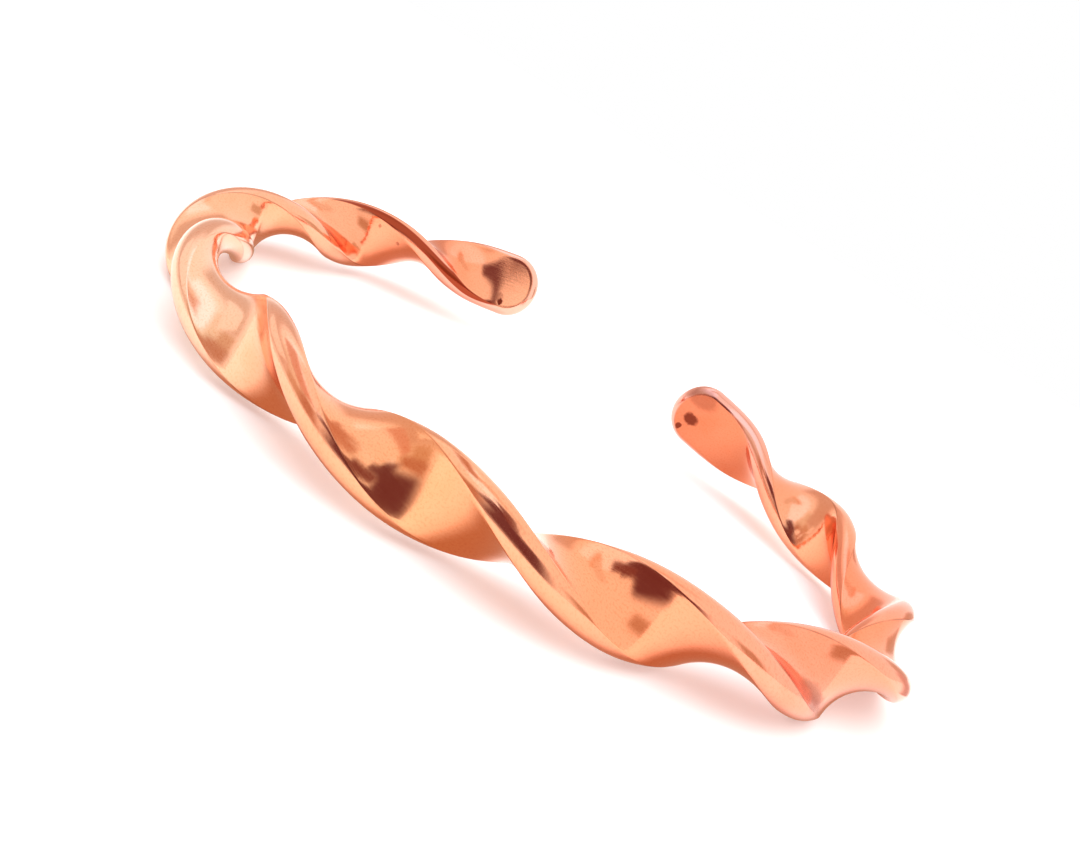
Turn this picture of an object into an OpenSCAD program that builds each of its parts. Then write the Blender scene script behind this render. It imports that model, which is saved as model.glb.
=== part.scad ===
// Open twisted bangle. One flat copper bar, half round at both tips, is twisted along its length and bent into
// an open oval that goes round a wrist. It lies on its side on the plane z = 0, as it comes to rest by itself,
// with the wrist opening looking up and the gap between its tips on the +Y side.
// Millimetres. The origin is the middle of the bounding box in x and y, at its lowest z.

/* [Bar] */
// Width of the flat bar
bar_w = 6.4; // [5:0.1:8]
// Thickness of the flat bar
bar_t = 2.3; // [1.6:0.1:3]
// How far its two rounded edges bulge out from the flat faces, as a share of the thickness
bulge_share = 0.24; // [0.1:0.01:0.5]
// Width of the bar at its tips, as a share of its width at the middle
tip_spread = 1.09; // [1:0.01:1.2]

/* [Twist] */
// Length of bar that makes one full turn
twist_pitch = 32; // [24:1:60]
// How far the bar's width stands up from the horizontal at the middle of its length, in degrees
middle_angle = 79; // [0:1:179]
// Untwisted length at the left tip
left_plain = 3.2; // [2:0.2:8]
// Untwisted length at the right tip
right_plain = 4.4; // [2:0.2:8]
// Length over which the twist sets in
twist_ease = 5; // [2:0.5:10]

/* [Bends] */
// Length of the left arm, from its tip
left_arm_length = 29; // [26:1:31]
// Bend radius of the left arm
left_arm_radius = 22; // [20:1:25]
// Length of the left turn
left_turn_length = 34; // [31:1:36]
// Bend radius of the left turn
left_turn_radius = 28; // [25:1:31]
// Length of the long strand opposite the gap
front_length = 51; // [46:1:54]
// Bend radius of the long strand opposite the gap
front_radius = 37; // [33:1:42]
// Length of the right turn
right_turn_length = 26; // [24:1:28]
// Bend radius of the right turn
right_turn_radius = 23; // [21:1:26]
// Length of the right arm, to its tip
right_arm_length = 30; // [27:1:32]
// Bend radius of the right arm
right_arm_radius = 23; // [21:1:26]
// Length on each side of a joint between two bends over which one radius goes over into the next
bend_ramp = 3; // [1:0.5:6]

/* [Rise and rest] */
// How far the left tip is sprung up out of the plane of the oval
left_rise = 4.9; // [0:0.1:8]
// How far the right tip is sprung up out of the plane of the oval
right_rise = 4.4; // [0:0.1:8]
// Length of bar, from each tip, that rises
rise_length = 55; // [30:1:80]
// Turn about the x axis at which it comes to rest on a floor, in degrees
rest_lean = -1.93; // [-5:0.01:5]
// Turn about the y axis at which it comes to rest on a floor, in degrees
rest_tilt = 0.12; // [-5:0.01:5]

/* [Hidden] */
// The bends from the left tip to the right one. Columns: length along the bar, bend radius.
LENGTH = 0;
RADIUS = 1;
bends = [
    [left_arm_length, left_arm_radius],
    [left_turn_length, left_turn_radius],
    [front_length, front_radius],
    [right_turn_length, right_turn_radius],
    [right_arm_length, right_arm_radius]
];
bend_starts = running([for (bend = bends) bend[LENGTH]]);
bar_length = bend_starts[len(bends)];
front_middle = left_arm_length + left_turn_length + front_length/2;

// Half the bar's width is also the radius of its half-round tips.
tip_r = bar_w/2;
bulge = bulge_share*bar_t;
flat_half = tip_r - bulge;

// The edges are arcs through the borders of the two faces.
edge_r = (pow(bar_t/2, 2) + pow(bulge, 2))/(2*bulge);
edge_angle = asin(bar_t/2/edge_r);

// Fineness of the mesh
edge_steps = 5;
face_steps = 3;
tip_steps = 8;
body_steps = 330;
path_steps = 340;

copper = [0.93, 0.62, 0.47];

path_step = bar_length/path_steps;
degrees_per_radian = 180/PI;

// Running totals of a list, from zero to the sum of them all.
function running(steps) = [
    for (i = 0, total = 0; i <= len(steps); total = total + (i < len(steps) ? steps[i] : 0), i = i + 1) total
];

// The values at the path's stations, as a table that lookup can read.
function along_path(values) = [for (i = [0:path_steps]) [i*path_step, values[i]]];

// The means of neighbouring values.
function between(values) = [for (i = [1:len(values) - 1]) (values[i - 1] + values[i])/2];

// Curvature of the bar's middle line: even within a bend, and ramped from each bend to the next.
curvature_table = [
    for (i = [0:len(bends) - 1])
        each [
            [bend_starts[i] + bend_ramp, 1/bends[i][RADIUS]],
            [bend_starts[i + 1] - bend_ramp, 1/bends[i][RADIUS]]
        ]
];
curvatures = [for (i = [0:path_steps]) lookup(i*path_step, curvature_table)];

// Direction of the middle line in degrees, zero where the long strand is parallel to the x axis.
turnings = along_path(running(between(curvatures)*path_step*degrees_per_radian));
headings = [for (row = turnings) row[1] - lookup(front_middle, turnings)];
heading_table = along_path(headings);
x_table = along_path(running([for (heading = between(headings)) path_step*cos(heading)]));
y_table = along_path(running([for (heading = between(headings)) path_step*sin(heading)]));

// Share of the rise length that lies beyond a station, towards the left tip and towards the right one.
function left_share(s) = max(0, 1 - s/rise_length);
function right_share(s) = max(0, 1 - (bar_length - s)/rise_length);

// Height of the middle line above the plane of the oval, and its slope.
function rise(s) = left_rise*pow(left_share(s), 2) + right_rise*pow(right_share(s), 2);
function slope(s) = 2*(right_rise*right_share(s) - left_rise*left_share(s))/rise_length;

// Length of full twist in a run that sets in softly.
function eased(run) = run <= 0 ? 0 : run < twist_ease ? pow(run, 2)/(2*twist_ease) : run - twist_ease/2;
function twisted_run(s) = eased(s - left_plain) - eased(s - (bar_length - right_plain - twist_ease));

// Angle of the bar's width above the horizontal. It falls along the bar, which makes a right-hand twist.
function width_angle(s) = middle_angle - 360/twist_pitch*(twisted_run(s) - twisted_run(bar_length/2));

// Growth of the width from the middle of the bar to its tips.
function widening(s) = 1 + (tip_spread - 1)*pow(2*s/bar_length - 1, 2);

// A point of the straight bar, given by its station, its place across and its place through the thickness,
// carried to where twisting and bending put it.
function bent(s, across, through) =
    let (
        heading = lookup(s, heading_table),
        climb = slope(s),
        outward = [sin(heading), -cos(heading), 0],
        upward = [-climb*cos(heading), -climb*sin(heading), 1]/norm([1, climb]),
        angle = width_angle(s),
        width_way = cos(angle)*outward + sin(angle)*upward,
        thick_way = cos(angle)*upward - sin(angle)*outward
    )
    [lookup(s, x_table), lookup(s, y_table), rise(s)] + across*widening(s)*width_way + through*thick_way;

// The bar turned as it comes to rest, about x and then about y.
function leaned(p) = [p.x, p.y*cos(rest_lean) - p.z*sin(rest_lean), p.y*sin(rest_lean) + p.z*cos(rest_lean)];
function tilted(p) = [p.x*cos(rest_tilt) + p.z*sin(rest_tilt), p.y, p.z*cos(rest_tilt) - p.x*sin(rest_tilt)];

// Outline of the bar's section, clockwise from the top of its right edge: right edge, bottom face, left edge,
// top face. Columns: place across, place through the thickness.
ACROSS = 0;
THROUGH = 1;
right_edge = [
    for (i = [0:edge_steps])
        let (angle = edge_angle*(1 - 2*i/edge_steps))
        [tip_r - edge_r + edge_r*cos(angle), edge_r*sin(angle)]
];
bottom_face = [for (i = [1:face_steps - 1]) [flat_half*(1 - 2*i/face_steps), -bar_t/2]];
section = concat(right_edge, bottom_face, -right_edge, -bottom_face);

// Rings of the bar. At a tip they stand like a fan about the middle of the half circle.
// Columns: station, share of a point's reach by which it is moved along the bar, and share of its place across.
STATION = 0;
LEAD = 1;
SPREAD = 2;
tip_angles = [for (i = [0:tip_steps - 1]) 90*(i + 0.5)/(tip_steps + 0.5)];
left_rings = [for (angle = tip_angles) [tip_r, -cos(angle), sin(angle)]];
body_rings = [for (i = [0:body_steps]) [tip_r + (bar_length - 2*tip_r)*i/body_steps, 0, 1]];
right_rings = [
    for (i = [1:tip_steps])
        let (angle = tip_angles[tip_steps - i])
        [bar_length - tip_r, cos(angle), sin(angle)]
];
rings = concat(left_rings, body_rings, right_rings);

// Distance of a section point from the middle of the half circle when it goes round the tip.
function reach(point) = max(abs(point[ACROSS]), flat_half);

settled_points = [
    for (ring = rings, point = section)
        tilted(leaned(bent(
            ring[STATION] + ring[LEAD]*reach(point),
            ring[SPREAD]*point[ACROSS],
            point[THROUGH]
        )))
];
function low(axis) = min([for (p = settled_points) p[axis]]);
function high(axis) = max([for (p = settled_points) p[axis]]);
base_middle = [(low(0) + high(0))/2, (low(1) + high(1))/2, low(2)];
band_points = [for (p = settled_points) p - base_middle];

// Faces, with each ring's points joined to the next ring's.
ring_size = len(section);
edge_size = len(right_edge);
last_ring = (len(rings) - 1)*ring_size;
skin_faces = [
    for (i = [0:len(rings) - 2], j = [0:ring_size - 1])
        let (
            a = i*ring_size + j,
            b = i*ring_size + (j + 1)%ring_size
        )
        each [[a, b + ring_size, b], [a, a + ring_size, b + ring_size]]
];

// A tip is closed by strips from its right edge across to its left edge. The first and the last strip also
// take in the points that lie on the flat faces.
function across_from(j) = 2*edge_size + len(bottom_face) - 1 - j;
top_strip = concat([for (j = [across_from(1):ring_size - 1]) j], [0]);
bottom_strip = [for (j = [edge_size - 1:across_from(edge_size - 2)]) j];
tip_faces = concat(
    [for (i = [0:len(top_strip) - 2]) [1, top_strip[i], top_strip[i + 1]]],
    [for (i = [0:len(bottom_strip) - 2]) [edge_size - 2, bottom_strip[i], bottom_strip[i + 1]]],
    [
        for (j = [1:edge_size - 3])
            each [[j, j + 1, across_from(j + 1)], [j, across_from(j + 1), across_from(j)]]
    ]
);

// The whole bangle: the twisted and bent bar with its two half-round tips.
module twisted_band() {
    color(copper)
        polyhedron(
            points = band_points,
            faces = concat(
                skin_faces,
                tip_faces,
                [for (face = tip_faces) [face[2], face[1], face[0]] + last_ring*[1, 1, 1]]
            ),
            convexity = 10
        );
}

twisted_band();
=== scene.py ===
"""An open twisted copper cuff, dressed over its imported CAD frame.

The frame gives the cuff's size and its place. The band is made here once more with a fine mesh, in the
order in which such a cuff is made by hand: the section of a flat bar is cut with its two bulging edges, drawn
out to its length, rounded at both tips, twisted, and bent round. It is dressed in polished copper and lies in
a plain, bright studio.
"""

import logging
import math
from dataclasses import dataclass, field
from enum import Enum

import bmesh
import bpy
import numpy as np
from mathutils import Matrix, Vector


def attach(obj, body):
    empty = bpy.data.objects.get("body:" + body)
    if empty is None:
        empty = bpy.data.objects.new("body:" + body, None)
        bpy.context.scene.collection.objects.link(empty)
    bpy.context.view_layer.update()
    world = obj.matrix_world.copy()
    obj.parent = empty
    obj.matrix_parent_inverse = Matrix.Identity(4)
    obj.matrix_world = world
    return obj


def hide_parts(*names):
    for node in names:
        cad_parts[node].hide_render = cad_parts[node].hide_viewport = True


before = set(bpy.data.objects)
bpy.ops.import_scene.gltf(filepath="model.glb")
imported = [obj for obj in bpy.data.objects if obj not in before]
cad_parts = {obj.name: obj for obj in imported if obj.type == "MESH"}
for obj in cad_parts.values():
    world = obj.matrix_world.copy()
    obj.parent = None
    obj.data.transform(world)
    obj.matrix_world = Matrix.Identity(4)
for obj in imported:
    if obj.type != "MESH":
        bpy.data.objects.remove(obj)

MM = 0.001
BAND_NODE = "twisted_band"
BAR_PLACE = "bar_place"

# The rays that a sheet of the studio is hidden from, to show in the metal alone or to the camera alone.
ALL_BUT_MIRRORED = ("camera", "diffuse", "shadow")
ALL_BUT_SEEN = ("diffuse", "glossy", "transmission", "shadow")

Tree = bpy.types.NodeTree
Socket = bpy.types.NodeSocket

log = logging.getLogger("cuff")


def linear(hex_colour: str) -> tuple[float, float, float, float]:
    """Turns an sRGB hex colour into the linear colour that nodes and lights take.

    Args:
        hex_colour: the colour as "#rrggbb".

    Returns:
        Linear red, green and blue, and an alpha of one.
    """
    shares = [int(hex_colour[i:i + 2], 16) / 255 for i in (1, 3, 5)]
    red, green, blue = (s / 12.92 if s <= 0.04045 else ((s + 0.055) / 1.055) ** 2.4 for s in shares)
    return red, green, blue, 1.0


def add_node(tree: Tree, kind: str, inputs: dict | None = None, **settings: object) -> bpy.types.Node:
    """Adds a node with its settings and what goes into it.

    Args:
        tree: the tree that the node joins.
        kind: the node's class, such as "ShaderNodeMath".
        inputs: what goes into each input, by name or number. An output of another node is linked, and
            anything else is set as the input's value.
        settings: the node's own properties, by name.

    Returns:
        The new node.
    """
    node = tree.nodes.new(kind)
    for name, value in settings.items():
        setattr(node, name, value)
    for key, value in (inputs or {}).items():
        if isinstance(value, Socket):
            tree.links.new(value, node.inputs[key])
        else:
            node.inputs[key].default_value = value
    return node


def within(tree: Tree, off_middle: Socket, half_width: float, blur: float) -> Socket:
    """Tells how much a place belongs to a strip with soft borders.

    Args:
        tree: the tree that works it out.
        off_middle: how far the place lies to either side of the strip's middle.
        half_width: half the strip's width.
        blur: half the width of each soft border.

    Returns:
        The share, from one inside the strip to zero outside.
    """
    far = add_node(tree, "ShaderNodeMath", {0: off_middle}, operation="ABSOLUTE").outputs["Value"]
    return add_node(
        tree, "ShaderNodeMapRange",
        {"Value": far, "From Min": half_width - blur, "From Max": half_width + blur,
         "To Min": 1.0, "To Max": 0.0},
        interpolation_type="SMOOTHSTEP",
    ).outputs["Result"]


def bare_material(name: str) -> bpy.types.Material:
    """Starts a material that has no nodes yet.

    Args:
        name: the material's name.

    Returns:
        The material.
    """
    material = bpy.data.materials.new(name)
    material.use_nodes = True
    material.node_tree.nodes.clear()
    return material


def let_glow(tree: Tree, share: Socket, light: tuple[float, float, float]) -> None:
    """Makes a sheet give light where it shows, and leaves it clear elsewhere.

    Args:
        tree: the sheet's material nodes.
        share: how much of the sheet shows, from zero to one.
        light: the light it gives, as linear red, green and blue.
    """
    clear = add_node(tree, "ShaderNodeBsdfTransparent").outputs["BSDF"]
    glow = add_node(
        tree, "ShaderNodeEmission", {"Color": (*light, 1.0), "Strength": 1.0},
    ).outputs["Emission"]
    sheet = add_node(tree, "ShaderNodeMixShader", {0: share, 1: clear, 2: glow}).outputs["Shader"]
    add_node(tree, "ShaderNodeOutputMaterial", {"Surface": sheet})


def finished_mesh(name: str, draft: bmesh.types.BMesh) -> bpy.types.Mesh:
    """Turns a draft into a mesh and lets go of the draft.

    Args:
        name: the mesh's name.
        draft: the shape.

    Returns:
        The mesh.
    """
    mesh = bpy.data.meshes.new(name)
    draft.to_mesh(mesh)
    draft.free()
    return mesh


def points_of(mesh: bpy.types.Mesh) -> np.ndarray:
    """Reads a mesh's points, one row for each.

    Args:
        mesh: the mesh.

    Returns:
        The points.
    """
    points = np.zeros(len(mesh.vertices) * 3)
    mesh.vertices.foreach_get("co", points)
    return points.reshape(-1, 3)


def move_points(mesh: bpy.types.Mesh, straight: np.ndarray, bent: np.ndarray) -> None:
    """Moves a mesh's points from the straight bar to the bent one, and keeps the straight places with them.

    Args:
        mesh: the mesh.
        straight: the points' places on the straight bar, in millimetres.
        bent: their places on the finished cuff, in millimetres.
    """
    mesh.attributes.new(BAR_PLACE, "FLOAT_VECTOR", "POINT").data.foreach_set("vector", straight.ravel())
    mesh.vertices.foreach_set("co", (bent * MM).ravel())
    mesh.update()


def set_on_stage(name: str, mesh: bpy.types.Mesh, place: Matrix | None = None,
                 hidden_from: tuple[str, ...] = ()) -> bpy.types.Object:
    """Adds a part of the studio and marks it as no part of the object.

    Args:
        name: its name.
        mesh: its mesh.
        place: where it stands, or nothing for a mesh that has its place already.
        hidden_from: the kinds of rays that don't meet it.

    Returns:
        The part.
    """
    part = bpy.data.objects.new(name, mesh)
    if place is not None:
        part.matrix_world = place
    bpy.context.scene.collection.objects.link(part)
    for rays in hidden_from:
        setattr(part, f"visible_{rays}", False)
    return part


@dataclass(frozen=True)
class Bar:
    """The section of the flat bar, in millimetres, and what the buff takes off it all round."""

    width: float = 6.4
    thickness: float = 2.3
    bulge: float = 0.55
    line_softness: float = 0.07
    buffed_off: float = 0.025

    @property
    def half_width(self) -> float:
        """Half the buffed bar's width, which is also the radius of its half-round tips."""
        return self.width / 2 - self.buffed_off

    @property
    def face_half(self) -> float:
        """Half the width of the flat faces, as far as the lines where the bulging edges start."""
        return self.half_width - self.bulge


@dataclass(frozen=True)
class Bend:
    """One bend of the bar: its length along the bar and its radius, in millimetres."""

    length: float
    radius: float


@dataclass(frozen=True)
class MiddleLine:
    """The line that the middle of the bar follows, from the left tip to the right one, in millimetres."""

    bends: tuple[Bend, ...] = (Bend(29, 22), Bend(34, 28), Bend(51, 37), Bend(26, 23), Bend(30, 23))
    front: int = 2
    bend_ramp: float = 3.0
    left_rise: float = 4.9
    right_rise: float = 4.4
    rise_length: float = 55.0
    steps: int = 340

    @property
    def length(self) -> float:
        """The bar's whole length."""
        return sum(bend.length for bend in self.bends)

    def headings(self) -> tuple[np.ndarray, np.ndarray]:
        """Works out which way the line runs along its length.

        Returns:
            The stations, and the heading at each in radians, zero at the middle of the long strand.
        """
        starts = np.cumsum([0.0] + [bend.length for bend in self.bends])
        even = [(start + self.bend_ramp, end - self.bend_ramp) for start, end in zip(starts, starts[1:])]
        curvature = np.repeat([1 / bend.radius for bend in self.bends], 2)
        stations = np.linspace(0, self.length, self.steps + 1)
        bending = np.interp(stations, np.ravel(even), curvature)
        turned = np.concatenate([[0], np.cumsum((bending[1:] + bending[:-1]) / 2 * np.diff(stations))])
        front_middle = starts[self.front] + self.bends[self.front].length / 2
        return stations, turned - np.interp(front_middle, stations, turned)

    def frames(self, along: np.ndarray) -> tuple[np.ndarray, np.ndarray, np.ndarray]:
        """Finds points of the line and the directions square to it.

        Args:
            along: distances from the left tip.

        Returns:
            The points, the directions out of the oval and the directions up, one row for each distance.
        """
        stations, heading = self.headings()
        step = np.diff(stations)
        middle = (heading[1:] + heading[:-1]) / 2
        x = np.interp(along, stations, np.concatenate([[0], np.cumsum(step * np.cos(middle))]))
        y = np.interp(along, stations, np.concatenate([[0], np.cumsum(step * np.sin(middle))]))
        left = np.clip(1 - along / self.rise_length, 0, None)
        right = np.clip(1 - (self.length - along) / self.rise_length, 0, None)
        z = self.left_rise * left ** 2 + self.right_rise * right ** 2
        climb = 2 * (self.right_rise * right - self.left_rise * left) / self.rise_length
        way = np.interp(along, stations, heading)
        outward = np.stack([np.sin(way), -np.cos(way), np.zeros_like(way)], 1)
        upward = np.stack([-climb * np.cos(way), -climb * np.sin(way), np.ones_like(way)], 1)
        upward /= np.linalg.norm(upward, axis=1)[:, None]
        return np.stack([x, y, z], 1), outward, upward


@dataclass(frozen=True)
class Twist:
    """How the bar is twisted about its own middle line, in millimetres and degrees."""

    pitch: float = 32.0
    middle_angle: float = 79.0
    left_plain: float = 3.2
    right_plain: float = 4.4
    ease: float = 5.0

    def eased(self, run: np.ndarray) -> np.ndarray:
        """Length of full twist in a run that sets in softly."""
        soft = np.clip(run, 0, self.ease)
        return soft ** 2 / (2 * self.ease) + np.clip(run - self.ease, 0, None)

    def twisted_run(self, along: np.ndarray, length: float) -> np.ndarray:
        """Length of full twist between the left tip and each station."""
        last_start = length - self.right_plain - self.ease
        return self.eased(along - self.left_plain) - self.eased(along - last_start)

    def angle(self, along: np.ndarray, length: float) -> np.ndarray:
        """Finds how far the bar's width stands up from the horizontal.

        Args:
            along: distances from the left tip.
            length: the bar's whole length.

        Returns:
            Angles in radians. They fall along the bar, which makes a right-hand twist.
        """
        run = self.twisted_run(along, length) - self.twisted_run(np.array(length / 2), length)
        return np.radians(self.middle_angle - 360 / self.pitch * run)


class Tip(Enum):
    """The two ends of the bar, as the side of its blank on which they lie."""

    LEFT = -1
    RIGHT = 1


@dataclass(frozen=True)
class DarkSpot:
    """A dark spot on the metal, told by its place on the straight bar, in millimetres.

    Most are tarnish: sweat and salts darken copper first where it is touched, in small brown blots with soft
    edges. One is painted shade instead. Its side is 1 or -1, for one face of the bar or the other.
    """

    along: float
    across: float
    side: float
    length: float
    breadth: float
    depth: float = 1.0


@dataclass(frozen=True)
class DarkReflection:
    """A brown band of painted dark reflection that runs aslant over one rounded edge, in millimetres of the
    straight bar.

    It goes from one face, where it starts along the bar, to the other, where it ends.
    """

    start: float
    end: float
    side: float
    half_breadth: float
    blur: float


@dataclass(frozen=True)
class PolishedCopper:
    """Copper bar, buffed bright by hand after it was bent.

    Bare metal: everything the eye sees is reflection, coloured pink to orange. Its colour along the bar
    is the copper's own with painted reflection in it, paler at the left turn and deeper towards the right
    tip. The buff leaves a soft bloom in place of a mirror, and very fine lines along the bar. The rounded
    edges carry a painted pink highlight, strongest at the tips. The buff misses the lines where edge and
    face meet, so a thread of brown stays there. Tarnish starts again as faint orange clouds and a few brown
    blots; one more blot is painted shade, and a brown band over one edge is a painted dark reflection.
    Sizes are in millimetres.
    """

    name: str = "polished_copper"
    bar: Bar = Bar()
    line: MiddleLine = MiddleLine()
    # Copper colours along the bar with painted reflection, paler at the left turn and deeper to the right.
    tones_with_painted_reflection: tuple[tuple[float, str], ...] = (
        (0, "#fdae87"), (12, "#f6956d"), (22, "#f9a67f"), (33, "#feb088"), (50, "#febe98"),
        (64, "#fec4a2"), (74, "#fdac82"), (82, "#fdae7e"), (98, "#fda175"), (108, "#fda27f"),
        (116, "#fd9e7c"), (121, "#fda07a"), (140, "#fb926c"), (145, "#fb9a70"), (151, "#f6a983"),
        (156, "#f2976f"), (161, "#e48660"), (170, "#e07e5b"),
    )
    cloud_tint: str = "#fdf2ea"
    cloud_size: float = 6.0
    cloud_detail: float = 4.0
    cloud_range: tuple[float, float] = (0.42, 0.72)
    speckle_tint: str = "#fbf0e8"
    speckle_range: tuple[float, float] = (0.48, 0.68)
    # The rounded edges get a painted pink highlight, strongest at the two tips.
    edge_highlight_colour: str = "#ffc8bb"
    edge_highlight_mix: float = 0.10
    tip_highlight_mix: float = 0.50
    tip_range: tuple[float, float] = (0.40, 0.46)
    edge_inner_blur: float = 0.1
    edge_outer_blur: float = 0.15
    thread_colour: str = "#8e442b"
    thread_share: float = 0.45
    thread_width: float = 0.05
    thread_range: tuple[float, float] = (0.45, 0.6)
    # A brown band of painted dark reflection, aslant over the left arm's edge.
    dark_reflection_colour: str = "#a2442b"
    dark_reflection: DarkReflection = DarkReflection(start=21.5, end=6.5, side=1, half_breadth=0.48, blur=0.06)
    dark_spot_colour: str = "#873a27"
    dark_spot_roughness: float = 0.25
    dark_spot_core: float = 0.7
    dark_spot_rim: float = 1.25
    dark_spot_height: float = 0.9
    ragged_size: float = 1 / 2.2
    ragged_detail: float = 3.0
    ragged_reach: float = 0.5
    # Seven tarnish blots, and last a spot of painted shade.
    dark_spots: tuple[DarkSpot, ...] = (
        DarkSpot(167.6, 0.55, -1, 0.85, 0.60),
        DarkSpot(168.1, 1.90, -1, 0.30, 0.34),
        DarkSpot(3.3, 2.10, -1, 0.32, 0.36),
        DarkSpot(3.7, 1.75, -1, 0.60, 0.50, 0.25),
        DarkSpot(19.6, 1.95, 1, 0.22, 0.16, 0.5),
        DarkSpot(17.0, 1.50, 1, 0.22, 0.14, 0.5),
        DarkSpot(168.2, -1.9, -1, 1.9, 1.1, 0.4),
        # Painted shade: it dims a bright reflection near the border of a face.
        DarkSpot(112.3, -1.7, -1, 2.0, 1.0, 0.38),
    )
    fine_detail: float = 2.0
    raggedness: float = 0.6
    roughness: float = 0.14
    roughness_swing: float = 0.04
    # Real buffing lines, grain and speckle are some hundredths of a millimetre wide. That is too fine to show
    # in the render, so all three are drawn several times as coarse.
    buff_spacing: float = 0.14
    buff_length: float = 4.0
    buff_range: tuple[float, float] = (0.3, 0.7)
    buff_strength: float = 0.25
    speckle_size: float = 0.16
    grain_size: float = 0.22
    grain_strength: float = 0.4
    scratch_height: float = 0.004
    wave_size: float = 5.0
    wave_height: float = 0.035

    def dark_spot_share(self, tree: Tree, place: Socket) -> Socket:
        """Adds up the dark spots: tarnish blots and one spot of painted shade.

        Args:
            tree: the material's nodes.
            place: the place on the straight bar, in mm.

        Returns:
            How dark the spots make the metal, from zero to one.
        """
        ragged = add_node(
            tree, "ShaderNodeTexNoise",
            {"Vector": place, "Scale": 1 / self.ragged_size, "Detail": self.ragged_detail},
        ).outputs["Color"]
        wobble = add_node(
            tree, "ShaderNodeVectorMath", {0: ragged, 1: (self.ragged_reach,) * 3, 2: place},
            operation="MULTIPLY_ADD",
        ).outputs["Vector"]
        mean_wobble = Vector((self.ragged_reach / 2,) * 3)
        total = None
        for dark_spot in self.dark_spots:
            middle = Vector((dark_spot.along, dark_spot.across, dark_spot.side * self.bar.thickness / 2)) + mean_wobble
            size = Vector((dark_spot.length, dark_spot.breadth, self.dark_spot_height))
            from_middle = add_node(
                tree, "ShaderNodeVectorMath", {0: wobble, 1: middle}, operation="SUBTRACT",
            ).outputs["Vector"]
            scaled = add_node(tree, "ShaderNodeVectorMath", {0: from_middle, 1: size}, operation="DIVIDE")
            distance = add_node(
                tree, "ShaderNodeVectorMath", {0: scaled.outputs["Vector"]}, operation="LENGTH",
            ).outputs["Value"]
            blot = add_node(
                tree, "ShaderNodeMapRange",
                {"Value": distance, "From Min": self.dark_spot_core, "From Max": self.dark_spot_rim,
                 "To Min": dark_spot.depth, "To Max": 0.0},
                interpolation_type="SMOOTHSTEP",
            ).outputs["Result"]
            total = blot if total is None else add_node(
                tree, "ShaderNodeMath", {0: total, 1: blot}, operation="MAXIMUM",
            ).outputs["Value"]
        return total

    def dark_reflection_share(self, tree: Tree, place: Socket) -> Socket:
        """Lays the band of painted dark reflection over its edge.

        Args:
            tree: the material's nodes.
            place: the place on the straight bar, in mm.

        Returns:
            How much of the painted reflection there is, from zero to one.
        """
        parts = add_node(tree, "ShaderNodeSeparateXYZ", {"Vector": place})
        slanting = add_node(
            tree, "ShaderNodeMapRange",
            {"Value": parts.outputs["X"], "From Min": self.dark_reflection.end, "From Max": self.dark_reflection.start,
             "To Min": -self.bar.thickness / 2, "To Max": self.bar.thickness / 2},
            clamp=False,
        ).outputs["Result"]
        off_line = add_node(
            tree, "ShaderNodeMath", {0: parts.outputs["Z"], 1: slanting}, operation="SUBTRACT",
        ).outputs["Value"]
        near = within(tree, off_line, self.dark_reflection.half_breadth, self.dark_reflection.blur)
        out = add_node(
            tree, "ShaderNodeMath", {0: parts.outputs["Y"], 1: self.dark_reflection.side}, operation="MULTIPLY",
        ).outputs["Value"]
        on_edge = add_node(
            tree, "ShaderNodeMapRange",
            {"Value": out, "From Min": self.bar.face_half - self.edge_inner_blur,
             "From Max": self.bar.face_half},
        ).outputs["Result"]
        return add_node(tree, "ShaderNodeMath", {0: near, 1: on_edge}, operation="MULTIPLY").outputs["Value"]

    def reach(self, tree: Tree, place: Socket) -> Socket:
        """Measures how far a point lies from the line between the middles of the two half circles.

        Args:
            tree: the material's nodes.
            place: the place on the straight bar, in mm.

        Returns:
            The distance, in millimetres: half the face's width where face and edge meet, all round the bar.
        """
        half_length = self.line.length / 2
        axes = add_node(tree, "ShaderNodeSeparateXYZ", {"Vector": place})
        from_middle = add_node(
            tree, "ShaderNodeMath", {0: axes.outputs["X"], 1: half_length}, operation="SUBTRACT",
        ).outputs["Value"]
        either_way = add_node(tree, "ShaderNodeMath", {0: from_middle}, operation="ABSOLUTE").outputs["Value"]
        past = add_node(
            tree, "ShaderNodeMath", {0: either_way, 1: half_length - self.bar.half_width},
            operation="SUBTRACT",
        ).outputs["Value"]
        in_tip = add_node(tree, "ShaderNodeMath", {0: past, 1: 0.0}, operation="MAXIMUM").outputs["Value"]
        flat = add_node(tree, "ShaderNodeCombineXYZ", {"X": in_tip, "Y": axes.outputs["Y"]}).outputs["Vector"]
        return add_node(tree, "ShaderNodeVectorMath", {0: flat}, operation="LENGTH").outputs["Value"]

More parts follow.
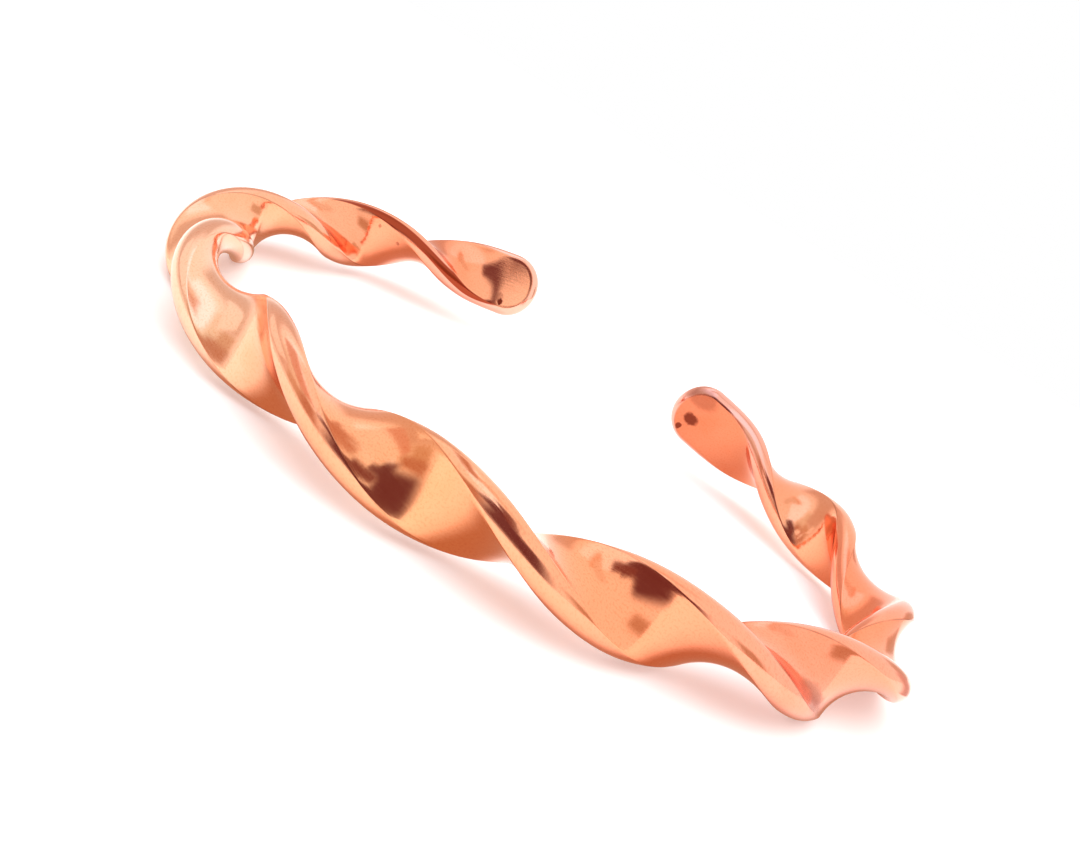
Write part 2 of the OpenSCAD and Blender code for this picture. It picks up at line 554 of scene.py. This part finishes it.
    def face_colour(self, tree: Tree, place: Socket, share_along: Socket, clouds: Socket) -> Socket:
        """Mixes the faces' colour: copper with painted reflection along the bar, tarnish clouds and speckle.

        Args:
            tree: the material's nodes.
            place: the place on the straight bar, in mm.
            share_along: how far along the bar the place is, from zero to one.
            clouds: the pattern of the clouds.

        Returns:
            The colour.
        """
        ramp = add_node(tree, "ShaderNodeValToRGB", {"Fac": share_along})
        stops = ramp.color_ramp.elements
        for number, (station, tone) in enumerate(self.tones_with_painted_reflection):
            stop = stops[number] if number < len(stops) else stops.new(1.0)
            stop.position = station / self.line.length
            stop.color = linear(tone)
        specks = add_node(
            tree, "ShaderNodeTexNoise",
            {"Vector": place, "Scale": 1 / self.speckle_size, "Detail": self.fine_detail},
        ).outputs["Fac"]
        mixed = ramp.outputs["Color"]
        for pattern, (low, high), tint in (
            (clouds, self.cloud_range, self.cloud_tint),
            (specks, self.speckle_range, self.speckle_tint),
        ):
            share = add_node(
                tree, "ShaderNodeMapRange", {"Value": pattern, "From Min": low, "From Max": high},
                interpolation_type="SMOOTHSTEP",
            ).outputs["Result"]
            mixed = add_node(
                tree, "ShaderNodeMix", {0: share, 6: mixed, 7: linear(tint)},
                data_type="RGBA", blend_type="MULTIPLY",
            ).outputs[2]
        return mixed

    def edge_highlight_share(self, tree: Tree, share_along: Socket, reach: Socket) -> Socket:
        """Finds how much painted pink highlight the edges get, which is more at the two tips.

        Args:
            tree: the material's nodes.
            share_along: how far along the bar the place is, from zero to one.
            reach: the distance from the bar's middle line, in mm.

        Returns:
            The share, zero on the faces.
        """
        off_middle = add_node(
            tree, "ShaderNodeMath", {0: share_along, 1: 0.5}, operation="SUBTRACT",
        ).outputs["Value"]
        towards_tip = add_node(tree, "ShaderNodeMath", {0: off_middle}, operation="ABSOLUTE").outputs["Value"]
        most = add_node(
            tree, "ShaderNodeMapRange",
            {"Value": towards_tip, "From Min": self.tip_range[0], "From Max": self.tip_range[1],
             "To Min": self.edge_highlight_mix, "To Max": self.tip_highlight_mix},
            interpolation_type="SMOOTHSTEP",
        ).outputs["Result"]
        return add_node(
            tree, "ShaderNodeMapRange",
            {"Value": reach, "From Min": self.bar.face_half - self.edge_inner_blur,
             "From Max": self.bar.face_half + self.edge_outer_blur, "To Max": most},
            interpolation_type="SMOOTHSTEP",
        ).outputs["Result"]

    def thread_depth(self, tree: Tree, reach: Socket, clouds: Socket) -> Socket:
        """Finds how much brown stays, in places, in the line where face and edge meet.

        Args:
            tree: the material's nodes.
            reach: the distance from the bar's middle line, in mm.
            clouds: the pattern of the clouds.

        Returns:
            The share of brown.
        """
        on_line = add_node(
            tree, "ShaderNodeMath", {0: reach, 1: self.bar.face_half, 2: self.thread_width},
            operation="COMPARE",
        ).outputs["Value"]
        patches = add_node(
            tree, "ShaderNodeMapRange",
            {"Value": clouds, "From Min": self.thread_range[0], "From Max": self.thread_range[1],
             "To Max": self.thread_share},
        ).outputs["Result"]
        return add_node(
            tree, "ShaderNodeMath", {0: on_line, 1: patches}, operation="MULTIPLY",
        ).outputs["Value"]

    def colour(self, tree: Tree, place: Socket, spot_darkness: Socket) -> Socket:
        """Mixes the metal's colour: faces, painted edge highlight, threads, painted dark reflection and dark
        spots.

        Args:
            tree: the material's nodes.
            place: the place on the straight bar, in mm.
            spot_darkness: how dark the tarnish blots and the painted shade make the metal.

        Returns:
            The colour.
        """
        along = add_node(tree, "ShaderNodeSeparateXYZ", {"Vector": place}).outputs["X"]
        share_along = add_node(
            tree, "ShaderNodeMath", {0: along, 1: self.line.length}, operation="DIVIDE",
        ).outputs["Value"]
        clouds = add_node(
            tree, "ShaderNodeTexNoise",
            {"Vector": place, "Scale": 1 / self.cloud_size, "Detail": self.cloud_detail,
             "Roughness": self.raggedness},
        ).outputs["Fac"]
        reach = self.reach(tree, place)
        mixed = self.face_colour(tree, place, share_along, clouds)
        for share, hex_colour in (
            (self.edge_highlight_share(tree, share_along, reach), self.edge_highlight_colour),
            (self.thread_depth(tree, reach, clouds), self.thread_colour),
            (self.dark_reflection_share(tree, place), self.dark_reflection_colour),
            (spot_darkness, self.dark_spot_colour),
        ):
            mixed = add_node(
                tree, "ShaderNodeMix", {0: share, 6: mixed, 7: linear(hex_colour)}, data_type="RGBA",
            ).outputs[2]
        return mixed

    def buffed_roughness(self, tree: Tree, lines: Socket, spot_darkness: Socket) -> Socket:
        """Makes the buffing lines and the dark spots a little duller.

        Args:
            tree: the material's nodes.
            lines: the pattern of the buffing lines.
            spot_darkness: how dark the tarnish blots and the painted shade make the metal.

        Returns:
            The roughness.
        """
        between_lines = add_node(
            tree, "ShaderNodeMapRange",
            {"Value": lines, "From Min": self.buff_range[0], "From Max": self.buff_range[1],
             "To Min": self.roughness - self.roughness_swing,
             "To Max": self.roughness + self.roughness_swing},
        ).outputs["Result"]
        return add_node(
            tree, "ShaderNodeMath", {0: spot_darkness, 1: self.dark_spot_roughness, 2: between_lines},
            operation="MULTIPLY_ADD",
        ).outputs["Value"]

    def relief(self, tree: Tree, place: Socket, lines: Socket) -> Socket:
        """Gives the metal the shallow waves of hand work, the buffing lines and a fine grain.

        Args:
            tree: the material's nodes.
            place: the place on the straight bar, in mm.
            lines: the pattern of the buffing lines.

        Returns:
            The direction square to the surface.
        """
        waves = add_node(
            tree, "ShaderNodeTexNoise", {"Vector": place, "Scale": 1 / self.wave_size, "Detail": 1.0},
        ).outputs["Fac"]
        grain = add_node(
            tree, "ShaderNodeTexNoise",
            {"Vector": place, "Scale": 1 / self.grain_size, "Detail": self.fine_detail},
        ).outputs["Fac"]
        under = {}
        for pattern, strength, height in (
            (waves, 1.0, self.wave_height),
            (lines, self.buff_strength, self.scratch_height),
            (grain, self.grain_strength, self.scratch_height),
        ):
            bump = add_node(
                tree, "ShaderNodeBump",
                {"Height": pattern, "Strength": strength, "Distance": height * MM, **under},
            )
            under = {"Normal": bump.outputs["Normal"]}
        return under["Normal"]

    def build(self) -> bpy.types.Material:
        """Makes the material.

        Returns:
            The material.
        """
        material = bare_material(self.name)
        tree = material.node_tree
        place = add_node(tree, "ShaderNodeAttribute", attribute_name=BAR_PLACE).outputs["Vector"]
        drawn_out = add_node(
            tree, "ShaderNodeMapping",
            {"Vector": place, "Scale": (1 / self.buff_length, 1 / self.buff_spacing, 1 / self.buff_spacing)},
        ).outputs["Vector"]
        lines = add_node(
            tree, "ShaderNodeTexNoise",
            {"Vector": drawn_out, "Scale": 1.0, "Detail": self.fine_detail, "Roughness": self.raggedness},
        ).outputs["Fac"]
        spot_darkness = self.dark_spot_share(tree, place)
        metal = add_node(
            tree, "ShaderNodeBsdfPrincipled",
            {"Base Color": self.colour(tree, place, spot_darkness), "Metallic": 1.0,
             "Roughness": self.buffed_roughness(tree, lines, spot_darkness),
             "Normal": self.relief(tree, place, lines)},
        )
        add_node(tree, "ShaderNodeOutputMaterial", {"Surface": metal.outputs["BSDF"]})
        return material


@dataclass
class TwistedBand:
    """The whole cuff: one flat bar with bulging edges and half-round tips, twisted and bent. Millimetres."""

    name: str = "copper_band"
    bar: Bar = Bar()
    line: MiddleLine = MiddleLine()
    twist: Twist = Twist()
    finish: PolishedCopper = PolishedCopper()
    tip_spread: float = 1.09
    foot_height: float = 0.01
    rest_lean: float = -1.93
    rest_tilt: float = 0.12
    body_steps: int = 560
    tip_steps: int = 24
    flat_steps: int = 20
    edge_steps: int = 12
    soft_segments: int = 2
    weld_distance: float = 0.0005
    # How far the bent bar is moved to lie over the origin, which is known once it is bent.
    shift: np.ndarray = field(default_factory=lambda: np.zeros(3))

    def cut_section(self, blank: bmesh.types.BMesh) -> list[bmesh.types.BMEdge]:
        """Cuts the bar's section, with its two bulging edges, where the left tip's half circle starts.

        Args:
            blank: the empty mesh of the straight bar: x runs along the bar, y across it and z through it.

        Returns:
            The edges of the section, a closed loop.
        """
        half = self.bar.thickness / 2 - self.bar.buffed_off
        radius = (half ** 2 + self.bar.bulge ** 2) / (2 * self.bar.bulge)
        sweep = 2 * math.asin(half / radius)
        for side in (1, -1):
            corner = bmesh.ops.create_vert(blank, co=(side * self.bar.face_half, side * half, 0))["vert"]
            bmesh.ops.spin(
                blank, geom=corner, cent=(side * (self.bar.half_width - radius), 0, 0), axis=(0, 0, 1),
                dvec=(0, 0, 0), angle=-sweep, steps=self.edge_steps,
            )
        corners = [vert for vert in blank.verts if len(vert.link_edges) == 1]
        for side in (1, -1):
            blank.edges.new([vert for vert in corners if vert.co.y * side > 0])
        bmesh.ops.bevel(
            blank, geom=corners, offset=self.bar.line_softness, offset_type="OFFSET",
            segments=self.soft_segments, profile=0.5, affect="VERTICES", material=-1, clamp_overlap=True,
        )
        flats = [edge for edge in blank.edges if edge.calc_length() > self.bar.half_width]
        bmesh.ops.subdivide_edges(blank, edges=flats, cuts=self.flat_steps - 1)
        stand_up = Matrix(((0, 0, 1, 0), (1, 0, 0, 0), (0, 1, 0, 0), (0, 0, 0, 1)))
        to_left_end = Matrix.Translation((self.bar.half_width, 0, 0))
        bmesh.ops.transform(blank, matrix=to_left_end @ stand_up, verts=blank.verts)
        return blank.edges[:]

    def draw_out(self, blank: bmesh.types.BMesh,
                 section: list[bmesh.types.BMEdge]) -> list[bmesh.types.BMEdge]:
        """Draws the section out along the bar and divides it finely enough to be twisted.

        Args:
            blank: the mesh of the straight bar.
            section: the edges of its section.

        Returns:
            The edges at the far end.
        """
        reach = self.line.length - 2 * self.bar.half_width
        drawn = bmesh.ops.extrude_edge_only(blank, edges=section)["geom"]
        far_points = {part for part in drawn if isinstance(part, bmesh.types.BMVert)}
        bmesh.ops.translate(blank, verts=list(far_points), vec=(reach, 0, 0))
        far_end = [edge for edge in blank.edges if far_points.issuperset(edge.verts)]
        lengthwise = [edge for edge in blank.edges if edge.calc_length() > reach / 2]
        bmesh.ops.subdivide_edges(blank, edges=lengthwise, cuts=self.body_steps - 1, use_grid_fill=True)
        return far_end

    def round_tip(self, blank: bmesh.types.BMesh, section: list[bmesh.types.BMEdge], tip: Tip) -> None:
        """Turns half of an end's section about the middle of its half circle, from one side to the other.

        Args:
            blank: the mesh of the straight bar.
            section: the edges at the bar's end.
            tip: which end it is.
        """
        station = section[0].verts[0].co.x
        half = [edge for edge in section if edge.verts[0].co.y + edge.verts[1].co.y > 0]
        bmesh.ops.spin(
            blank, geom=half, cent=(station, 0, 0), axis=(0, 0, 1), dvec=(0, 0, 0),
            angle=-tip.value * math.pi, steps=self.tip_steps,
        )

    def bend_round(self, straight: np.ndarray) -> np.ndarray:
        """Twists the straight bar, bends it round and lays it down as it comes to rest.

        Args:
            straight: points of the straight bar, in millimetres.

        Returns:
            The same points on the finished cuff, with its box's middle over the origin.
        """
        along, across, through = straight.T
        length = self.line.length
        points, outward, upward = self.line.frames(along)
        angle = self.twist.angle(along, length)
        widening = 1 + (self.tip_spread - 1) * (2 * along / length - 1) ** 2
        width_way = np.cos(angle)[:, None] * outward + np.sin(angle)[:, None] * upward
        thick_way = np.cos(angle)[:, None] * upward - np.sin(angle)[:, None] * outward
        bent = points + (across * widening)[:, None] * width_way + through[:, None] * thick_way
        lean = Matrix.Rotation(math.radians(self.rest_lean), 3, "X")
        tilt = Matrix.Rotation(math.radians(self.rest_tilt), 3, "Y")
        settled = bent @ np.array(tilt @ lean).T
        low, high = settled.min(0), settled.max(0)
        self.shift = np.array([(low[0] + high[0]) / 2, (low[1] + high[1]) / 2, low[2] - self.foot_height])
        return settled - self.shift

    def below(self, along: np.ndarray, across: np.ndarray, height: float) -> np.ndarray:
        """Finds places on the floor under the finished cuff.

        Args:
            along: distances from the left tip, in millimetres.
            across: how far each place lies outside the middle line.
            height: how far above the floor they are.

        Returns:
            The places, one row for each.
        """
        points, outward, _ = self.line.frames(along)
        flat = points - self.shift + across[:, None] * outward
        return np.stack([flat[:, 0], flat[:, 1], np.full(len(flat), height)], 1)

    def build(self) -> bpy.types.Object:
        """Makes the band and dresses it.

        Returns:
            The finished band, riding on the frame in place of the CAD node.
        """
        blank = bmesh.new()
        left_end = self.cut_section(blank)
        right_end = self.draw_out(blank, left_end)
        self.round_tip(blank, left_end, Tip.LEFT)
        self.round_tip(blank, right_end, Tip.RIGHT)
        bmesh.ops.remove_doubles(blank, verts=blank.verts, dist=self.weld_distance)
        bmesh.ops.recalc_face_normals(blank, faces=blank.faces)
        mesh = finished_mesh(self.name, blank)
        straight = points_of(mesh)
        move_points(mesh, straight, self.bend_round(straight))
        mesh.polygons.foreach_set("use_smooth", [True] * len(mesh.polygons))
        mesh.materials.append(self.finish.build())
        band = bpy.data.objects.new(self.name, mesh)
        bpy.context.scene.collection.objects.link(band)
        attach(band, "root")
        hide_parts(BAND_NODE)
        return band


@dataclass(frozen=True)
class PhotoView:
    """The camera, close to the cuff and rolled, as in the photograph. Millimetres and degrees.

    Its focal length was found in pixels, for a picture so many pixels wide.
    """

    eye: tuple[float, float, float] = (-0.11, -84.16, 28.97)
    azimuth: float = 0.18
    elevation: float = 17.57
    roll: float = 31.23
    focal_pixels: float = 1027.7
    picture_pixels: float = 1080.0
    sensor: float = 36.0
    nearest: float = 1.0
    farthest: float = 20000.0

    def build(self) -> bpy.types.Object:
        """Sets up the camera and makes it the scene's own.

        Returns:
            The camera.
        """
        data = bpy.data.cameras.new("photo_view")
        data.sensor_width = self.sensor
        data.lens = self.focal_pixels / self.picture_pixels * self.sensor
        data.clip_start = self.nearest * MM
        data.clip_end = self.farthest * MM
        camera = bpy.data.objects.new("photo_view", data)
        turn = (
            Matrix.Rotation(math.radians(self.azimuth), 4, "Z")
            @ Matrix.Rotation(math.radians(90 - self.elevation), 4, "X")
            @ Matrix.Rotation(math.radians(self.roll), 4, "Z")
        )
        camera.matrix_world = Matrix.Translation(Vector(self.eye) * MM) @ turn
        bpy.context.scene.collection.objects.link(camera)
        bpy.context.scene.camera = camera
        return camera


@dataclass(frozen=True)
class TentPanel:
    """A part of the white tent that is lighter or dimmer than the rest, with soft edges. Degrees.

    Its azimuth is zero towards +X and counts anticlockwise, as seen from above.
    """

    azimuth: float
    elevation: float
    half_width: float
    half_height: float
    fade: float
    light: tuple[float, float, float]

    def share(self, tree: Tree, azimuth: Socket, elevation: Socket) -> Socket:
        """Finds how much of the panel is seen in a direction.

        Args:
            tree: the world's nodes.
            azimuth: the direction's azimuth, in radians.
            elevation: its height over the horizon, in radians.

        Returns:
            The share, from zero outside the panel to one within it.
        """
        aside = add_node(
            tree, "ShaderNodeMath", {0: azimuth, 1: math.radians(self.azimuth)}, operation="SUBTRACT",
        ).outputs["Value"]
        around = add_node(
            tree, "ShaderNodeMath", {0: aside, 1: math.pi, 2: -math.pi}, operation="WRAP",
        ).outputs["Value"]
        above = add_node(
            tree, "ShaderNodeMath", {0: elevation, 1: math.radians(self.elevation)}, operation="SUBTRACT",
        ).outputs["Value"]
        fade = math.radians(self.fade)
        wide = within(tree, around, math.radians(self.half_width), fade)
        high = within(tree, above, math.radians(self.half_height), fade)
        return add_node(tree, "ShaderNodeMath", {0: wide, 1: high}, operation="MULTIPLY").outputs["Value"]


@dataclass(frozen=True)
class Card:
    """A dark, brown or pale card with soft edges, near the cuff, which shows only in the metal. Millimetres.

    Its angles are in degrees. Its side is the azimuth towards which it stands, and -90 is towards the camera.
    Its pitch is 90 where it stands up and 0 where it lies flat over the cuff. Its lean turns it in its plane.
    """

    name: str
    middle: tuple[float, float, float]
    size: tuple[float, float]
    softness: float
    light: tuple[float, float, float]
    lean: float = 0.0
    side: float = -90.0
    pitch: float = 90.0

    def build(self) -> bpy.types.Object:
        """Puts the card in its place.

        Returns:
            The card.
        """
        sheet = bmesh.new()
        bmesh.ops.create_grid(sheet, x_segments=1, y_segments=1, size=1.0)
        wide, high = (length / 2 + self.softness for length in self.size)
        bmesh.ops.scale(sheet, verts=sheet.verts, vec=(wide * MM, high * MM, 1))
        mesh = finished_mesh(self.name, sheet)
        mesh.materials.append(self.surface())
        place = (
            Matrix.Translation(Vector(self.middle) * MM)
            @ Matrix.Rotation(math.radians(self.side + 90), 4, "Z")
            @ Matrix.Rotation(math.radians(self.pitch), 4, "X")
            @ Matrix.Rotation(math.radians(self.lean), 4, "Z")
        )
        return set_on_stage(self.name, mesh, place, ALL_BUT_MIRRORED)

    def surface(self) -> bpy.types.Material:
        """Makes the card's surface, which fades out towards its edges.

        Returns:
            The material.
        """
        material = bare_material(self.name)
        tree = material.node_tree
        place = add_node(tree, "ShaderNodeTexCoord").outputs["Object"]
        parts = add_node(tree, "ShaderNodeSeparateXYZ", {"Vector": place})
        wide, high = (
            within(tree, parts.outputs[axis], length / 2 * MM, self.softness * MM)
            for axis, length in zip("XY", self.size)
        )
        share = add_node(tree, "ShaderNodeMath", {0: wide, 1: high}, operation="MULTIPLY").outputs["Value"]
        let_glow(tree, share, self.light)
        return material


@dataclass(frozen=True)
class UnderShade:
    """A dim strip on the floor right under the bar, which shows only in the metal. Millimetres.

    It stands for the dark that gathers where a bar lies on a table, and browns the lower rims of the faces.
    Its start and its end are counted along the bar, and it fades out there, because the tips are raised.
    """

    name: str = "under_shade"
    half_width: float = 2.2
    softness: float = 1.2
    height: float = 0.02
    light: tuple[float, float, float] = (0.58, 0.31, 0.20)
    start: float = 10.0
    end: float = 145.0
    fade: float = 14.0
    steps: int = 120

    def build(self, band: TwistedBand) -> bpy.types.Object:
        """Lays the strip along the bar's middle line.

        Args:
            band: the cuff that lies on it.

        Returns:
            The strip.
        """
        sheet = bmesh.new()
        bmesh.ops.create_grid(sheet, x_segments=self.steps, y_segments=2, size=1.0)
        mesh = finished_mesh(self.name, sheet)
        share_along, share_across, _ = points_of(mesh).T
        along = (share_along + 1) / 2 * band.line.length
        across = share_across * (self.half_width + self.softness)
        straight = np.stack([along, across, np.zeros_like(along)], 1)
        move_points(mesh, straight, band.below(along, across, self.height))
        mesh.materials.append(self.surface())
        return set_on_stage(self.name, mesh, hidden_from=ALL_BUT_MIRRORED)

    def surface(self) -> bpy.types.Material:
        """Makes the strip's surface, which fades out towards its borders and its ends.

        Returns:
            The material.
        """
        material = bare_material(self.name)
        tree = material.node_tree
        place = add_node(tree, "ShaderNodeAttribute", attribute_name=BAR_PLACE).outputs["Vector"]
        parts = add_node(tree, "ShaderNodeSeparateXYZ", {"Vector": place})
        from_middle = add_node(
            tree, "ShaderNodeMath", {0: parts.outputs["X"], 1: (self.start + self.end) / 2},
            operation="SUBTRACT",
        ).outputs["Value"]
        long = within(tree, from_middle, (self.end - self.start) / 2, self.fade)
        wide = within(tree, parts.outputs["Y"], self.half_width, self.softness)
        share = add_node(tree, "ShaderNodeMath", {0: long, 1: wide}, operation="MULTIPLY").outputs["Value"]
        let_glow(tree, share, self.light)
        return material


@dataclass
class Studio:
    """A white paper floor and backdrop in a small white tent, with cards near the cuff. Millimetres."""

    floor_size: float = 3000.0
    floor_colour: str = "#f7f7f6"
    floor_roughness: float = 0.9
    air_strength: float = 1.2
    backdrop_radius: float = 1200.0
    backdrop_gores: int = 48
    backdrop_rings: int = 24
    wash_height: float = 2500.0
    wash_size: float = 4000.0
    wash_power: float = 50.0
    panels: tuple[TentPanel, ...] = (
        TentPanel(180, 70, 80, 20, 5, (1.34, 1.56, 1.86)),
        TentPanel(-160, 40, 30, 9, 6, (0.97, 0.96, 0.86)),
        TentPanel(-150, 20, 14, 12, 5, (0.78, 0.60, 0.46)),
        TentPanel(145, 23, 50, 15, 6, (0.82, 0.68, 0.61)),
        TentPanel(-133, 24, 10, 18, 6, (0.62, 0.36, 0.26)),
        TentPanel(-35, 11, 11, 14, 6, (0.66, 0.48, 0.36)),
        TentPanel(115, 73, 36, 6, 4, (1.0, 0.79, 0.66)),
        TentPanel(60, 79, 75, 6, 2, (1.0, 0.96, 0.91)),
    )
    cards: tuple[Card, ...] = (
        Card("dark_card_high", (-16, -87.0, 109), (50, 98), 10, (0.18, 0.066, 0.084), lean=-10),
        Card("dark_card_low", (1, -86.7, 41), (70, 77), 13, (0.18, 0.066, 0.084), lean=-14),
        Card("pale_card", (-22.7, -40, 40.6), (25, 14), 1.2, (1.26, 1.26, 1.26), lean=-18),
        Card("brown_card_back", (153, 113, 35), (60, 80), 10, (0.74, 0.60, 0.48), side=36),
        Card("dark_card_over", (2.5, -43.5, 40), (9.5, 26), 1.8, (0.24, 0.09, 0.09), pitch=0),
        Card("brown_card_over", (-27.5, -27.5, 25), (11, 26), 1.5, (0.86, 0.58, 0.50), pitch=0),
        Card("brown_card_inside", (-7.0, -20, 20), (4.0, 14), 1.0, (0.68, 0.42, 0.33), pitch=0),
        Card("pale_card_over", (-14, -26.5, 20), (10.5, 19), 1.2, (1.16, 1.16, 1.16), pitch=0),
        Card("pale_card_left", (-80, -11, 28), (60, 42), 3, (1.16, 1.14, 1.12), pitch=0),
        Card("brown_card_right", (40, -7.5, 3.5), (5, 10), 1.5, (0.80, 0.55, 0.50), side=0),
    )
    under_shade: UnderShade = UnderShade()

    def lay_floor(self) -> bpy.types.Object:
        """Lays the paper floor.

        Returns:
            The floor.
        """
        sheet = bmesh.new()
        bmesh.ops.create_grid(sheet, x_segments=1, y_segments=1, size=self.floor_size / 2 * MM)
        mesh = finished_mesh("paper_floor", sheet)
        material = bare_material("white_paper")
        tree = material.node_tree
        paper = add_node(
            tree, "ShaderNodeBsdfPrincipled",
            {"Base Color": linear(self.floor_colour), "Roughness": self.floor_roughness,
             "Specular IOR Level": 0.0},
        )
        add_node(tree, "ShaderNodeOutputMaterial", {"Surface": paper.outputs["BSDF"]})
        mesh.materials.append(material)
        return set_on_stage("paper_floor", mesh)

    def hang_backdrop(self) -> bpy.types.Object:
        """Hangs a plain white backdrop all round.

        The metal doesn't mirror it, so the tent's lighter and dimmer parts show there and nowhere else.

        Returns:
            The backdrop.
        """
        sheet = bmesh.new()
        bmesh.ops.create_uvsphere(
            sheet, u_segments=self.backdrop_gores, v_segments=self.backdrop_rings,
            radius=self.backdrop_radius * MM,
        )
        bmesh.ops.reverse_faces(sheet, faces=sheet.faces)
        mesh = finished_mesh("backdrop", sheet)
        material = bare_material("white_backdrop")
        tree = material.node_tree
        glow = add_node(tree, "ShaderNodeEmission", {"Color": (1.0, 1.0, 1.0, 1.0), "Strength": 1.0})
        add_node(tree, "ShaderNodeOutputMaterial", {"Surface": glow.outputs["Emission"]})
        mesh.materials.append(material)
        return set_on_stage("backdrop", mesh, hidden_from=ALL_BUT_SEEN)

    def light_tent(self) -> None:
        """Fills the tent with soft white light, with its lighter and dimmer parts."""
        world = bpy.data.worlds.new("studio_tent")
        world.use_nodes = True
        tree = world.node_tree
        tree.nodes.clear()
        way = add_node(tree, "ShaderNodeTexCoord").outputs["Generated"]
        light = add_node(tree, "ShaderNodeRGB").outputs["Color"]
        light.default_value = (self.air_strength,) * 3 + (1.0,)
        parts = add_node(tree, "ShaderNodeSeparateXYZ", {"Vector": way})
        azimuth = add_node(
            tree, "ShaderNodeMath", {0: parts.outputs["Y"], 1: parts.outputs["X"]}, operation="ARCTAN2",
        ).outputs["Value"]
        elevation = add_node(
            tree, "ShaderNodeMath", {0: parts.outputs["Z"]}, operation="ARCSINE",
        ).outputs["Value"]
        for panel in self.panels:
            light = add_node(
                tree, "ShaderNodeMix",
                {0: panel.share(tree, azimuth, elevation), 6: light, 7: (*panel.light, 1.0)},
                data_type="RGBA",
            ).outputs[2]
        background = add_node(tree, "ShaderNodeBackground", {"Color": light, "Strength": 1.0})
        add_node(tree, "ShaderNodeOutputWorld", {"Surface": background.outputs["Background"]})
        bpy.context.scene.world = world

    def wash_floor(self) -> None:
        """Hangs a large softbox over the table that lights the paper and doesn't show in the metal."""
        data = bpy.data.lights.new("overhead_softbox", "AREA")
        data.shape = "DISK"
        data.size = self.wash_size * MM
        data.energy = self.wash_power
        data.use_shadow = False
        light = bpy.data.objects.new("overhead_softbox", data)
        light.location = (0, 0, self.wash_height * MM)
        light.visible_glossy = False
        bpy.context.scene.collection.objects.link(light)

    def build(self, band: TwistedBand) -> None:
        """Sets up the floor, the tent, the light and the cards, and shows colours as they are.

        Args:
            band: the cuff that lies in the studio.
        """
        self.lay_floor()
        self.hang_backdrop()
        self.light_tent()
        self.wash_floor()
        for card in self.cards:
            card.build()
        self.under_shade.build(band)
        bpy.context.scene.view_settings.view_transform = "Standard"


def main() -> None:
    """Builds the cuff and its studio."""
    logging.basicConfig(level=logging.INFO, format="%(name)s: %(message)s")
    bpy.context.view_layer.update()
    cuff = TwistedBand()
    band = cuff.build()
    log.info("%s: %d faces", band.name, len(band.data.polygons))
    Studio().build(cuff)
    PhotoView().build()


if __name__ == "__main__":
    main()
